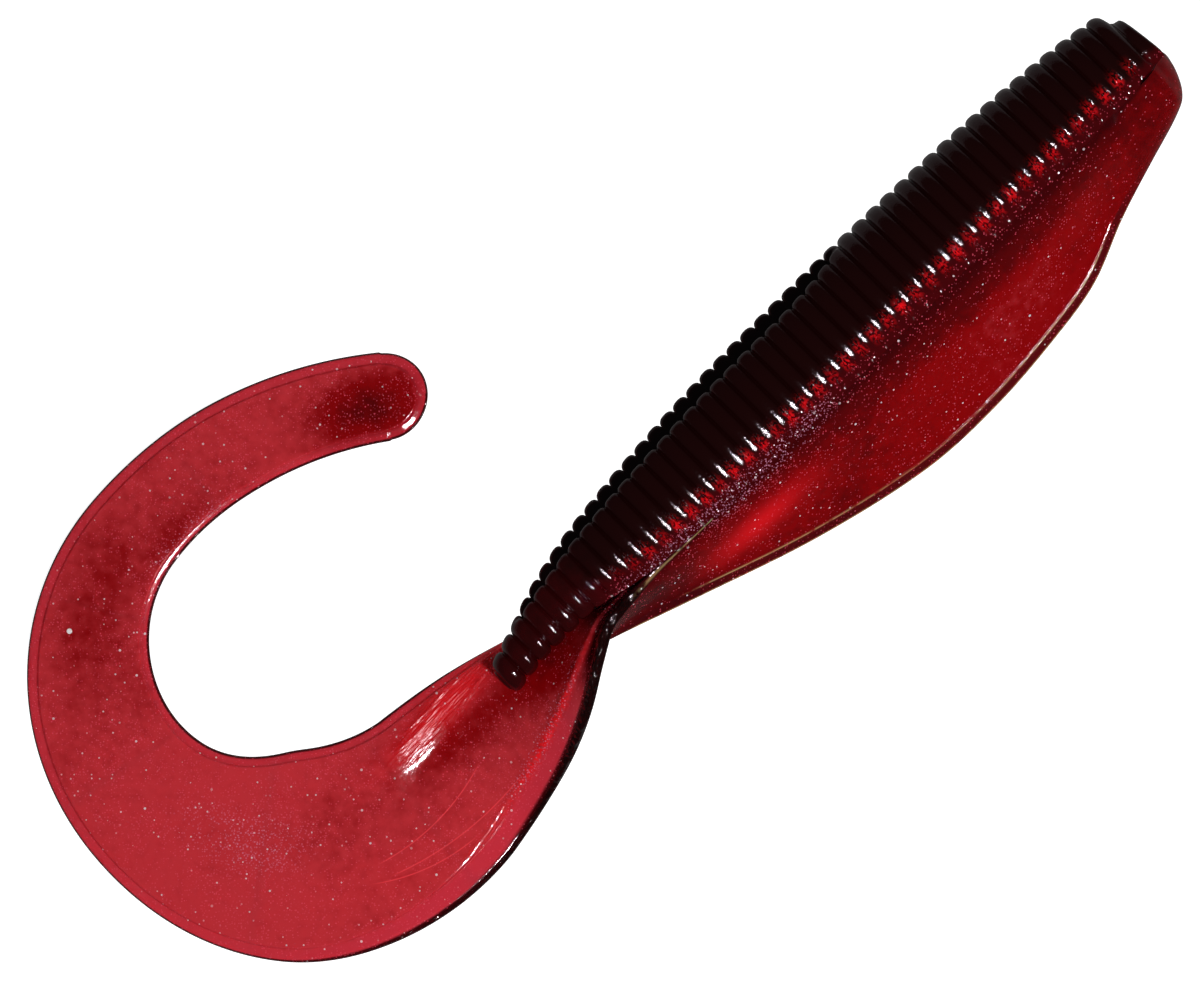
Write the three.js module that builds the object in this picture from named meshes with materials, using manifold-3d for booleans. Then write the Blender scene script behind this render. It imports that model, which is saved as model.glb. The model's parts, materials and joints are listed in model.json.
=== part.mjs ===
// A ribbed, keel-bellied, curl-tail soft lure, lying on its side on a table.
// Millimetres, +Z up, origin under the middle of the lure at table height.
//
// The body stands upright in a group of its own: x runs from the nose to the tail, y to the flank
// that ends up on top, z to the back. The group is then rolled on its side and turned. The tail
// sheet is laid out in a second group, whose origin is the point where the sheet leaves the body.
import * as THREE from "three";
import { mergeVertices } from "three/addons/utils/BufferGeometryUtils.js";
import Module from "manifold-3d";

const wasm = await Module();
wasm.setup();
const degrees = THREE.MathUtils.degToRad;

// ---- driving dimensions ----
const headingDegrees = 225.2; // from the nose to the tail, on the table
const rollDegrees = 22; // how far the keel dips below level when the lure lies on its side
const gap = 0.3; // between neighbouring solids

const bodyLength = 87;
const ribPitch = 1.85;
const ribDepth = 0.55;
const ribFadeDegrees = 25; // ribs die out over this much of the flank, up from the widest line

// Each profile is a list of [distance from the nose, value].
const halfWidth = profile([[0, 3.2], [3, 4.7], [10, 5.5], [20, 6.1], [35, 6.4], [50, 6.2],
  [60, 5.5], [70, 4.5], [78, 3.3], [83, 2.4], [bodyLength, 1.85]]);
const backTop = profile([[0, 3.6], [2, 5.9], [10, 7.3], [20, 8.1], [35, 8.7], [50, 9],
  [60, 8.8], [71, 8], [77, 6.8], [83, 4.7], [bodyLength, 3.3]]);
const backBase = profile([[0, 0.15], [68, 0.15], [70, 1.4], [77, 1.7], [bodyLength, 1.4]]);
const stubBelow = profile([[0, 0], [77, 0], [83, 1.1], [bodyLength, 1.7]]);
const slotDepth = profile([[0, 0], [36, 0], [41, 3], [60, 3], [76, 2], [82, 0], [bodyLength, 0]]);
const slotHalfWidth = 0.95;

const bellyEnd = 77;
const bellyTop = profile([[0, -0.15], [68, -0.15], [70, -1.4], [bellyEnd, -2.3]]);
const keelDepth = profile([[0, 3.4], [2, 5.8], [8, 8], [14, 10.3], [20, 12.9], [26, 14],
  [35, 14.7], [44, 14.2], [56, 11.2], [68, 6.8], [bellyEnd, 3.3]]);
const keelHalfThickness = 0.95;
const bellyStep = 2.75;

const bodyHinges = [20, 40, 59]; // distance from the nose
const noseFaceHeight = 1.8; // middle of the flat end of the back, above the line between the shots
const knuckleRadii = [7.0, 7.2, 6.6]; // round end of the segment in front of each hinge

const tailStart = 70; // distance from the nose
const tailArcs = [[4, 0], [4, 11], [12.5, -9], [8, -1], [12, -31.5], [48, -143.5],
  [12, -20.5], [20.3, -29.5]]; // [length, turn in degrees]
const tailLength = tailArcs.reduce((sum, [length]) => sum + length, 0);
const tailWidth = profile([[0, 9], [6, 10.8], [13, 13], [20, 15.2], [29, 18.2], [40, 20.3],
  [46, 20.1], [60, 15.2], [75, 11.9], [88, 9.9], [103, 9.3], [tailLength, 8.4]]);
const twistDegrees = profile([[0, 90 - rollDegrees], [6, 90 - rollDegrees], [10, 56], [14, 38],
  [19, 18], [24, 3], [27, 0], [tailLength, 0]]);
const sheetHalf = 0.8; // half thickness between the rims
const rimHalf = 1.1; // half thickness of the raised rims
const rimWidth = 1.3;
const tailStep = 3;

const tailRootEnd = 7.5; // the first tail hinge, along the sheet
const tailPieces = 7;
const tailGap = 0.6; // room for two thin ends to turn against each other

// ---- materials ----
const darkBack = () =>
  new THREE.MeshStandardMaterial({ color: 0x14060a, roughness: 0.28, metalness: 0 });
const clearRed = () =>
  new THREE.MeshStandardMaterial({ color: 0xa8121f, roughness: 0.18, metalness: 0 });

// A smooth curve through [x, value] pairs, flat beyond its ends.
function profile(knots) {
  const slope = knots.map((knot, i) => {
    const before = knots[Math.max(i - 1, 0)];
    const after = knots[Math.min(i + 1, knots.length - 1)];
    return (after[1] - before[1]) / (after[0] - before[0]);
  });
  return (x) => {
    if (x <= knots[0][0]) return knots[0][1];
    const i = knots.findIndex(([end]) => x <= end);
    if (i < 0) return knots.at(-1)[1];
    const [x0, y0] = knots[i - 1];
    const [x1, y1] = knots[i];
    const span = x1 - x0;
    const t = (x - x0) / span;
    // A level stretch stays level: it takes no slope from its neighbours.
    const startSlope = y0 === y1 ? 0 : slope[i - 1] * span;
    const endSlope = y0 === y1 ? 0 : slope[i] * span;
    const lift = y1 - y0;
    return y0 + t * (startSlope + t * (3 * lift - 2 * startSlope - endSlope
      + t * (startSlope + endSlope - 2 * lift)));
  };
}

// A closed skin over a row of rings, each a list of Vector3 with the same count, running
// anticlockwise as seen from the last ring. The two ends are filled flat: flatten turns a ring's
// point into its place on the plane of the ring.
function loft(rings, flatten) {
  const around = rings[0].length;
  const positions = rings.flat().flatMap((point) => point.toArray());
  const index = [];
  for (let i = 0; i + 1 < rings.length; i++) {
    for (let j = 0; j < around; j++) {
      const a = i * around + j;
      const b = i * around + ((j + 1) % around);
      index.push(a, b, a + around, b, b + around, a + around);
    }
  }
  const last = (rings.length - 1) * around;
  for (const [a, b, c] of THREE.ShapeUtils.triangulateShape(rings[0].map(flatten), [])) {
    index.push(a, c, b);
  }
  for (const [a, b, c] of THREE.ShapeUtils.triangulateShape(rings.at(-1).map(flatten), [])) {
    index.push(last + a, last + b, last + c);
  }
  const geometry = new THREE.BufferGeometry();
  geometry.setAttribute("position", new THREE.Float32BufferAttribute(positions, 3));
  geometry.setIndex(index);
  return geometry;
}

function solid(geometry) {
  const bare = geometry.clone();
  bare.deleteAttribute("normal");
  bare.deleteAttribute("uv");
  const merged = mergeVertices(bare, 1e-4);
  return new wasm.Manifold(new wasm.Mesh({
    numProp: 3,
    vertProperties: merged.attributes.position.array,
    triVerts: new Uint32Array(merged.index.array),
  }));
}

function geometryOf(manifold) {
  const mesh = manifold.getMesh();
  const geometry = new THREE.BufferGeometry();
  geometry.setAttribute("position", new THREE.BufferAttribute(mesh.vertProperties, 3));
  geometry.setIndex(new THREE.BufferAttribute(mesh.triVerts, 1));
  geometry.computeVertexNormals();
  return geometry;
}

// Sections of the body are flat in x, so their ends are filled in y and z.
const acrossBody = (point) => new THREE.Vector2(point.y, point.z);

// ---- the dark back: a ribbed half round with the hook slot, closing to a whole round stub ----
const backAngles = [0, 12, 24, 36, 48, 60, 70, 78, 84, 90, 96, 102, 110, 120, 132, 144, 156, 168,
  180, 216, 252, 288, 324];

function backRing(x, isGroove) {
  const base = backBase(x);
  return backAngles.map((angle) => {
    const turn = degrees(angle);
    const above = angle <= 180;
    const height = above ? backTop(x) - base : stubBelow(x);
    let y = halfWidth(x) * Math.cos(turn);
    let z = height * Math.sin(turn);
    const fromFlank = Math.min(angle, 180 - angle);
    const rib = above ? THREE.MathUtils.smoothstep(fromFlank, 0, ribFadeDegrees) : 0;
    const shrink = isGroove ? 1 - (ribDepth * rib) / Math.hypot(y, z) : 1;
    const slot = above ? slotDepth(x) * Math.max(0, 1 - (y / slotHalfWidth) ** 2) : 0;
    y *= shrink;
    z = z * shrink - slot;
    return new THREE.Vector3(x, y, base + z);
  });
}

function backSkin() {
  const ribs = Math.round(bodyLength / ribPitch);
  const rings = [];
  for (let rib = 0; rib < ribs; rib++) {
    rings.push(backRing((rib * bodyLength) / ribs, rib > 0));
    rings.push(backRing(((rib + 0.5) * bodyLength) / ribs, false));
  }
  rings.push(backRing(bodyLength, false));
  return loft(rings, acrossBody);
}

// ---- the clear red belly: full flanks drawn down into a thin, round-edged keel ----
const flankSteps = 7;

function bellyRing(x) {
  const top = bellyTop(x);
  const half = halfWidth(x);
  const edge = Math.min(keelHalfThickness, half / 2);
  const round = edge * 0.7;
  const straight = keelDepth(x) + top - round;
  const near = [];
  for (let i = 0; i <= flankSteps; i++) {
    const share = i / flankSteps;
    const y = edge + ((half - edge) * (1 + Math.cos(Math.PI * share))) / 2;
    near.push([y, top - straight * share]);
  }
  near.push([edge * 0.55, -keelDepth(x)]);
  const far = near.map(([y, z]) => [-y, z]);
  return [...far, ...near.reverse()].map(([y, z]) => new THREE.Vector3(x, y, z));
}

function bellySkin() {
  const steps = Math.round(bellyEnd / bellyStep);
  const rings = [bellyRing(0), bellyRing(bellyStep / 3)];
  for (let i = 1; i <= steps; i++) rings.push(bellyRing((i * bellyEnd) / steps));
  return loft(rings, acrossBody);
}

// ---- the cuts between body segments: round knuckles about each hinge's upright axis ----
const cutHalfWidth = 6.55;
const cutTop = 12;
const cutBottom = -18;
const cutSides = 10;

function knuckleEnd(shape, hinge, radius, isForward) {
  const reach = Math.asin(cutHalfWidth / radius);
  for (let i = 0; i <= cutSides; i++) {
    const turn = (isForward ? 1 : -1) * reach * ((2 * i) / cutSides - 1);
    shape.push(new THREE.Vector2(hinge + radius * Math.cos(turn), radius * Math.sin(turn)));
  }
}

function segmentCutter(number) {
  const outline = [];
  if (number === 0) {
    outline.push(new THREE.Vector2(-5, cutHalfWidth), new THREE.Vector2(-5, -cutHalfWidth));
  } else {
    knuckleEnd(outline, bodyHinges[number - 1], knuckleRadii[number - 1] + gap, false);
  }
  if (number === bodyHinges.length) {
    outline.push(new THREE.Vector2(bodyLength + 5, -cutHalfWidth));
    outline.push(new THREE.Vector2(bodyLength + 5, cutHalfWidth));
  } else {
    knuckleEnd(outline, bodyHinges[number], knuckleRadii[number], true);
  }
  const depth = cutTop - cutBottom;
  const prism = new THREE.ExtrudeGeometry(new THREE.Shape(outline), { depth, bevelEnabled: false });
  prism.translate(0, 0, cutBottom);
  return solid(prism);
}

// ---- the tail sheet ----
// Where the middle of the sheet runs, seen from above, and which way it heads there.
function tailPlan(distance) {
  const at = new THREE.Vector2();
  let heading = 0;
  let left = distance;
  for (const [length, turn] of tailArcs) {
    const run = Math.min(left, length);
    const swing = degrees((turn * run) / length);
    const chord = swing === 0 ? run : (2 * run * Math.sin(swing / 2)) / swing;
    at.x += chord * Math.cos(heading + swing / 2);
    at.y += chord * Math.sin(heading + swing / 2);
    heading += swing;
    left -= run;
    if (left <= 0) break;
  }
  return { at, heading };
}

// The sheet's centre and axes at a distance along it: ahead, out to its outer edge, and its face.
function tailFrame(distance) {
  const { at, heading } = tailPlan(distance);
  const twist = degrees(twistDegrees(distance));
  const ahead = new THREE.Vector3(Math.cos(heading), Math.sin(heading), 0);
  const level = new THREE.Vector3(-Math.sin(heading), Math.cos(heading), 0);
  const up = new THREE.Vector3(0, 0, 1);
  const out = level.clone().multiplyScalar(Math.cos(twist)).addScaledVector(up, Math.sin(twist));
  const face = level.clone().multiplyScalar(-Math.sin(twist)).addScaledVector(up, Math.cos(twist));
  const onEdge = (tailWidth(distance) / 2) * Math.sin(twist) + rimHalf * Math.cos(twist);
  const settled = THREE.MathUtils.smoothstep(distance, 5, 20);
  const height = THREE.MathUtils.lerp(axisHeight, onEdge, settled);
  return { centre: new THREE.Vector3(at.x, at.y, height), ahead, out, face };
}

function tailRing(distance) {
  const { centre, out, face } = tailFrame(distance);
  const tipRadius = tailWidth(tailLength) / 2;
  const intoTip = Math.max(0, distance - (tailLength - tipRadius));
  const rounded = Math.sqrt(Math.max(0, tipRadius ** 2 - intoTip ** 2));
  const half = intoTip > 0 ? Math.max(rounded, 0.8) : tailWidth(distance) / 2;
  const rim = Math.min(rimWidth, half * 0.45);
  const side = [[half - rim * 1.35, sheetHalf], [half - rim, rimHalf], [half - 0.3, rimHalf],
    [half, rimHalf / 2]];
  const upper = [...side.map(([y, z]) => [-y, z]).reverse(), ...side];
  const outline = [...upper, ...upper.map(([y, z]) => [y, -z]).reverse()].reverse();
  return outline.map(([y, z]) =>
    centre.clone().addScaledVector(out, y).addScaledVector(face, z));
}

function tailPiece(from, to) {
  const distances = [];
  const steps = Math.ceil((to - from) / tailStep);
  for (let i = 0; i < steps; i++) distances.push(from + ((to - from) * i) / steps);
  if (to === tailLength) {
    const tipRadius = tailWidth(tailLength) / 2;
    const straight = distances.filter((distance) => distance < tailLength - tipRadius);
    const bends = [0, 30, 50, 68, 83].map((angle) =>
      tailLength - tipRadius * (1 - Math.sin(degrees(angle))));
    distances.splice(0, distances.length, ...straight, ...bends);
  } else {
    distances.push(to);
  }
  const rings = distances.map(tailRing);
  const middle = tailFrame((from + to) / 2);
  const acrossSheet = (point) => {
    const offset = point.clone().sub(middle.centre);
    return new THREE.Vector2(offset.dot(middle.out), offset.dot(middle.face));
  };
  return loft(rings, acrossSheet);
}

// ---- assembly ----
const body = new THREE.Group();
body.rotation.set(degrees(90 - rollDegrees), 0, degrees(headingDegrees), "ZYX");

const back = solid(backSkin());
const belly = solid(bellySkin());
["head", "front", "middle", "rear"].forEach((name, number) => {
  const cutter = segmentCutter(number);
  const backMesh = new THREE.Mesh(geometryOf(back.intersect(cutter)), darkBack());
  backMesh.name = `${name}_back`;
  const bellyMesh = new THREE.Mesh(geometryOf(belly.intersect(cutter)), clearRed());
  bellyMesh.name = `${name}_belly`;
  body.add(backMesh, bellyMesh);
});

// The body rests on its lower flank, which sets how high its axis lies.
body.updateMatrixWorld(true);
const axisHeight = -new THREE.Box3().setFromObject(body, true).min.z;
body.position.z = axisHeight;

const tail = new THREE.Group();
const heading = degrees(headingDegrees);
tail.position.set(tailStart * Math.cos(heading), tailStart * Math.sin(heading), 0);
tail.rotation.z = heading;

const tailPitch = (tailLength - tailRootEnd) / tailPieces;
const tailHinges = Array.from({ length: tailPieces }, (_, i) => tailRootEnd + i * tailPitch);
const tailRoot = new THREE.Mesh(tailPiece(gap, tailHinges[0] - tailGap / 2), clearRed());
tailRoot.name = "tail_root";
tail.add(tailRoot);
tailHinges.forEach((hinge, i) => {
  const end = i + 1 < tailPieces ? tailHinges[i + 1] - tailGap / 2 : tailLength;
  const mesh = new THREE.Mesh(tailPiece(hinge + tailGap / 2, end), clearRed());
  mesh.name = `tail_${i + 1}`;
  tail.add(mesh);
});

// The origin goes under the middle of everything.
const lure = new THREE.Group();
lure.add(body, tail);
lure.updateMatrixWorld(true);
const middle = new THREE.Box3().setFromObject(lure, true).getCenter(new THREE.Vector3());
lure.position.set(-middle.x, -middle.y, 0);

const root = new THREE.Group();
root.add(lure);
root.updateMatrixWorld(true);

// Where each segment bends against the one ahead of it, and the axis it turns about.
const upright = new THREE.Vector3(0, 0, 1);
root.userData.hinges = [
  ...bodyHinges.map((distance) => ({
    at: new THREE.Vector3(distance, 0, 0).applyMatrix4(body.matrixWorld),
    axis: upright.clone().transformDirection(body.matrixWorld),
  })),
  ...tailHinges.map((distance) => ({
    at: tailFrame(distance).centre.applyMatrix4(tail.matrixWorld),
    axis: tailFrame(distance).out.transformDirection(tail.matrixWorld),
  })),
];
root.userData.noseFace = {
  at: new THREE.Vector3(0, 0, noseFaceHeight).applyMatrix4(body.matrixWorld),
  axis: new THREE.Vector3(-1, 0, 0).transformDirection(body.matrixWorld),
};
export default root;
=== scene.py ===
import json
import math

import bpy
import numpy as np
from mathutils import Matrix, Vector


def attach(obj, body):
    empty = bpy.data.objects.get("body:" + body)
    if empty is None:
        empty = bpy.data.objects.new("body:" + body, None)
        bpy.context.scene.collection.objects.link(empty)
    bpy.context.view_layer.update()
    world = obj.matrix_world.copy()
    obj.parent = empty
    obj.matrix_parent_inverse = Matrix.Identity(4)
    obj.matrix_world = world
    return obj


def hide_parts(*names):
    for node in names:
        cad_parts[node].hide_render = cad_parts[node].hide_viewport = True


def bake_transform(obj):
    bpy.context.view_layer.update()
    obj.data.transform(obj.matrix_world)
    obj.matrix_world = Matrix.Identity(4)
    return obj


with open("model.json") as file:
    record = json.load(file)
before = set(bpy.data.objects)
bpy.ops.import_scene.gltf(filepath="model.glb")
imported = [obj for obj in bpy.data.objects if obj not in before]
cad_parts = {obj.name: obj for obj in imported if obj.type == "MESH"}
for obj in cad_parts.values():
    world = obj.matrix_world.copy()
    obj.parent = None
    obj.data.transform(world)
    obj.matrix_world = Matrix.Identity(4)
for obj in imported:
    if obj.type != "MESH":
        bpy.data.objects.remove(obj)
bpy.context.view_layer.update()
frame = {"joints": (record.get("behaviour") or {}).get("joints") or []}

MM = 0.001
UP = np.array([0, 0, 1.0])

# ---- the lure's own sizes, in millimetres, as part.mjs has them ----
BODY_LENGTH = 87.0
RIBS = 47
RIB_PITCH = BODY_LENGTH / RIBS
BELLY_END = 77.0
ROLL = 22.0  # degrees that the keel dips below level, with the lure on its side
TAIL_START = 70.0
TAIL_ARCS = [(4, 0), (4, 11), (12.5, -9), (8, -1), (12, -31.5), (48, -143.5),
             (12, -20.5), (20.3, -29.5)]  # (length, turn in degrees)
TAIL_LENGTH = sum(length for length, turn in TAIL_ARCS)
RIM_HALF = 1.1  # how high the flat tail's middle lies over the table


def profile(*knots):
    """A smooth curve through (x, value) knots, flat beyond its ends."""
    xs = np.array([knot[0] for knot in knots], float)
    ys = np.array([knot[1] for knot in knots], float)
    before = np.maximum(np.arange(len(xs)) - 1, 0)
    after = np.minimum(np.arange(len(xs)) + 1, len(xs) - 1)
    slopes = (ys[after] - ys[before]) / (xs[after] - xs[before])

    def curve(x):
        x = np.clip(np.asarray(x, float), xs[0], xs[-1])
        i = np.clip(np.searchsorted(xs, x, side="left"), 1, len(xs) - 1)
        span = xs[i] - xs[i - 1]
        t = (x - xs[i - 1]) / span
        lift = ys[i] - ys[i - 1]
        level = lift == 0
        start = np.where(level, 0, slopes[i - 1] * span)
        end = np.where(level, 0, slopes[i] * span)
        bend = 3 * lift - 2 * start - end + t * (start + end - 2 * lift)
        return ys[i - 1] + t * (start + t * bend)

    return curve


def ease(x, low, high):
    """0 below low, 1 above high, smooth between."""
    t = np.clip((np.asarray(x, float) - low) / (high - low), 0, 1)
    return t * t * (3 - 2 * t)


def hump(x, middle, reach):
    """1 in the middle, fading out on both sides."""
    return np.exp(-((x - middle) / reach) ** 2)


def quarter_round(t):
    """Rises from 0 to 1 as a quarter circle does."""
    return np.sqrt(np.clip(1 - (1 - np.clip(t, 0, 1)) ** 2, 0, 1))


# The skin's outlines in mm, against the distance from the nose or along the tail. They follow
# part.mjs's, with the nose ring, the rounded front lobe and the sheet's hidden root added.
half_width = profile((0, 3.7), (1.5, 3.95), (2.4, 4.6), (3.5, 4.85), (10, 5.5), (20, 6.1),
                     (35, 6.4), (50, 6.2), (60, 5.5), (70, 4.5), (78, 3.3), (83, 2.4),
                     (BODY_LENGTH, 1.85))
back_top = profile((0, 4.1), (1.5, 4.4), (2.2, 5.9), (4, 6.45), (10, 7.3), (20, 8.1), (35, 8.7),
                   (50, 9), (60, 8.8), (71, 8), (77, 6.8), (83, 4.7), (BODY_LENGTH, 3.3))
back_base = profile((0, 0), (68, 0), (72, 0.5), (77, 1.6), (BODY_LENGTH, 1.4))
back_under = profile((0, 1.2), (1.0, 0.9), (4.2, 0), (68, 0), (72, 0.4), (77, 1.0), (83, 1.3),
                     (BODY_LENGTH, 1.8))
slot_depth = profile((0, 0), (35, 0), (39, 2.2), (44, 3.4), (62, 3.4), (76, 2.4), (82.5, 0),
                     (BODY_LENGTH, 0))
keel_depth = profile((0, 1.6), (0.35, 3.1), (1.2, 4.9), (2.2, 5.8), (8, 8), (14, 10.3),
                     (20, 12.9), (26, 14), (35, 14.7), (44, 14.2), (56, 11.2), (68, 6.8),
                     (BELLY_END, 3.3))
belly_top = profile((0, -1.5), (0.2, -0.4), (0.5, 0.15), (2, 0.3), (4, 0), (71, 0), (74, -0.5),
                    (BELLY_END, -1.4))
# How far down the belly the dark red of the thick body reaches.
dark_reach = profile((0, 0.4), (6, 1.2), (12, 2.8), (24, 4.6), (38, 4.0), (50, 2.8), (60, 1.8),
                     (72, 1.2))
tail_width = profile((-8, 10.1), (-4, 9.5), (0, 9.0), (6, 10.8), (13, 13), (20, 15.2),
                     (29, 18.2), (40, 20.3), (46, 20.1), (60, 15.2), (75, 11.9), (88, 9.9),
                     (103, 9.3), (TAIL_LENGTH, 8.4))
tail_twist = profile((0, 90 - ROLL), (6, 90 - ROLL), (10, 56), (14, 38), (19, 18), (24, 3),
                     (27, 0), (TAIL_LENGTH, 0))
# Half the tail's thickness, in its middle and in the thinner margin round it.
web_half = profile((-8, 0.15), (-3, 0.25), (2, 0.6), (10, 0.95), (45, 1.05), (TAIL_LENGTH, 1.0))
margin_half = profile((-8, 0.12), (-3, 0.2), (0, 0.35), (4, 0.5), (20, 0.62), (45, 0.75),
                      (TAIL_LENGTH, 0.75))
outer_margin = profile((-8, 0.6), (4, 1.2), (10, 2.2), (16, 2.6), (32, 2.5), (46, 1.2),
                       (TAIL_LENGTH, 1.0))
inner_margin = profile((-8, 0.6), (10, 0.9), (60, 0.9), (90, 0.65), (TAIL_LENGTH, 0.9))
outer_slope = profile((-8, 0.2), (2, 0.45), (10, 0.75), (35, 0.75), (50, 0.40),
                      (TAIL_LENGTH, 0.38))
INNER_SLOPE = 0.42

# ---- where the body and the tail lie, worked out from the frame's joints ----
BENDS = {joint["name"]: joint for joint in frame["joints"]}
FRONT_HINGE, MIDDLE_HINGE, REAR_HINGE = 20.0, 40.0, 59.0


def hinge_place(name):
    return np.array(BENDS[name]["pos_m"], float)


upright = np.array(BENDS["front_bend"]["axis"], float)
along = hinge_place("middle_bend") - hinge_place("front_bend")
along /= np.linalg.norm(along)
flank = np.cross(upright, along)
nose = hinge_place("front_bend") - FRONT_HINGE * MM * along
HEADING = math.atan2(along[1], along[0])
AXIS_HEIGHT = nose[2]


def body_point(x, w, u):
    """Metres in the frame for x mm from the nose, w mm to the upper flank and u mm up the back."""
    place = np.multiply.outer(x, along) + np.multiply.outer(w, flank)
    return nose + MM * (place + np.multiply.outer(u, upright))


def unit(vectors):
    return vectors / np.maximum(np.linalg.norm(vectors, axis=-1, keepdims=True), 1e-15)


# ---- mesh building ----
# Marks that the materials read. The glow, the sparks, the lighter margin and the pale highlight
# are painted light, and lip is painted shade on the keel's bevel. The black and depth marks hold
# the plastic's own black and red, with painted shade added on the tail; foil is flake.
MARKS = ["ink", "deep", "painted_margin_light", "glow", "spark", "foil", "lip", "fringe"]


def surface(name, points, normals, marks, wrap, close_start=False, close_end=False):
    """A mesh from a grid of points, rows by columns. Its attributes are the rest place in mm and
    the marks that the materials read, each 0 to 1."""
    rows, columns = points.shape[:2]
    faces = []
    last = columns if wrap else columns - 1
    for i in range(rows - 1):
        for j in range(last):
            k = (j + 1) % columns
            a, b = i * columns, (i + 1) * columns
            faces.append((a + j, a + k, b + k, b + j))
    if close_start:
        faces.append(tuple(range(columns)))
    if close_end:
        faces.append(tuple((rows - 1) * columns + j for j in reversed(range(columns))))
    flat = points.reshape(-1, 3)
    mesh = bpy.data.meshes.new(name)
    mesh.from_pydata([tuple(p) for p in flat], [], faces)
    rest = mesh.attributes.new("rest", "FLOAT_VECTOR", "POINT")
    rest.data.foreach_set("vector", (flat / MM).astype(np.float32).reshape(-1))
    for key in MARKS:
        value = np.broadcast_to(marks.get(key, 0.0), (rows, columns)).reshape(-1)
        mark = mesh.attributes.new(key, "FLOAT", "POINT")
        mark.data.foreach_set("value", value.astype(np.float32))
    mesh.polygons.foreach_set("use_smooth", [True] * len(mesh.polygons))
    mesh.update()
    mesh.normals_split_custom_set_from_vertices([tuple(n) for n in normals.reshape(-1, 3)])
    piece = bpy.data.objects.new(name, mesh)
    bpy.context.scene.collection.objects.link(piece)
    return piece


# ---- the body's skin ----
RIB_DEPTH = 0.68
BEAD_POWER = 2.6  # the higher, the squarer the bead
BEAD_SHARE = 0.985  # of the bead's round that shows above the groove
RIB_END_DROP = 0.3  # how far the plain flank lies under the ribs' crests
STEPS_A_RIB = 12
NOSE_EDGE = 0.6  # the skin is finest from the nose to here
STUB_CLOSES = (72, 79)  # where the half rings turn into the stub's whole rings
RIBS_RISE = (0.15, 1.3)  # up from the seam, where the ribs come up out of the flank
FLANK_RISE = 2.1  # how far up from the seam the flank is eased in
# The slot's half width in mm, what each mm of depth adds to it, and how round its lips are.
SLOT_MOUTH, SLOT_SPREAD, SLOT_POWER = 0.35, 0.24, 2.4
LEAN, LEAN_AT_TOP, LEAN_FADES = 0.45, 0.55, 3  # how far the nose face leans back
EYE = (8.8, 5.1, 0.45)  # from the nose, out to the flank and up
EYE_RADIUS = 1.4
EYE_DEPTH = 0.3
PIT = (16.6, -2.6, 7.2)  # a small pit high on the far side of the back
PIT_RADIUS = 0.55
PIT_DEPTH = 0.5


def rib_stations(first, last):
    """Distances from the nose, closer together in the grooves between ribs."""
    phase = 0.5 - 0.5 * np.cos(np.pi * np.arange(STEPS_A_RIB) / STEPS_A_RIB)
    stations = ((np.arange(RIBS)[:, None] + phase[None, :]) * RIB_PITCH).reshape(-1)
    if first == 0:
        farther = stations[stations > NOSE_EDGE + 0.05]
        stations = np.concatenate([np.linspace(0, NOSE_EDGE, 9), farther])
    inside = stations[(stations > first + 1e-6) & (stations < last - 1e-6)]
    return np.concatenate([[first], inside, [last]])


def off_crest(x):
    """0 on a rib's crest and 1 in the groove beside it."""
    return np.abs(2 * ((x / RIB_PITCH) % 1.0) - 1)


def rib_drop(x):
    """How far the skin lies under the crests: round beads with a narrow groove between them."""
    bead = np.maximum(0, 1 - BEAD_SHARE * off_crest(x) ** BEAD_POWER)
    return RIB_DEPTH * (1 - np.sqrt(bead))


def dent(x, w, u, at, radius, depth):
    """Inward offset of a shallow round dent."""
    away = np.sqrt((x - at[0]) ** 2 + (w - at[1]) ** 2 + (u - at[2]) ** 2) / radius
    return depth * np.exp(-away ** 4)


def eye_dents(x, w, u):
    return dent(x, np.abs(w), u, EYE, EYE_RADIUS, EYE_DEPTH)


def back_section(x, angle):
    """The back's smooth outline, before its ribs. The nose face leans back at the top."""
    turn = np.radians(angle)
    above = angle <= 180
    lean = LEAN + LEAN_AT_TOP * np.maximum(np.sin(turn), 0)
    x = x + lean * (1 - ease(x, 0, LEAN_FADES))
    base = back_base(x)
    half = half_width(x)
    height = np.where(above, back_top(x) - base, back_under(x))
    return x, above, base, half, height, half * np.cos(turn), height * np.sin(turn)


def back_skin(x, angle):
    """Points of the ribbed back. x is a column of distances, angle a row in degrees from the
    upper flank over the back to the lower flank, and on past 180 round the underside."""
    x, above, base, half, height, w, u = back_section(x, angle)
    normal_w = w / half ** 2
    normal_u = u / np.maximum(height, 0.05) ** 2
    size = np.sqrt(normal_w ** 2 + normal_u ** 2) + 1e-9
    normal_w, normal_u = normal_w / size, normal_u / size
    whole_ring = ease(x, *STUB_CLOSES)
    ribs = np.where(above, np.maximum(ease(u, *RIBS_RISE), whole_ring), whole_ring)
    drop = rib_drop(x) * ribs
    drop = drop + RIB_END_DROP * (1 - ease(u, 0, FLANK_RISE)) * (1 - whole_ring)
    # Each lobe beside the slot is rounded over, and the slot is a narrow V with a round floor.
    slot = slot_depth(x)
    near_slot = np.abs(w) / (SLOT_MOUTH + SLOT_SPREAD * slot)
    drop = drop + np.where(above, slot * np.exp(-near_slot ** SLOT_POWER), 0)
    drop = drop + eye_dents(x, w, u + base)
    drop = drop + dent(x, w, u + base, PIT, PIT_RADIUS, PIT_DEPTH)
    return body_point(x + 0 * w, w - drop * normal_w, base + u - drop * normal_u)


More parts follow.
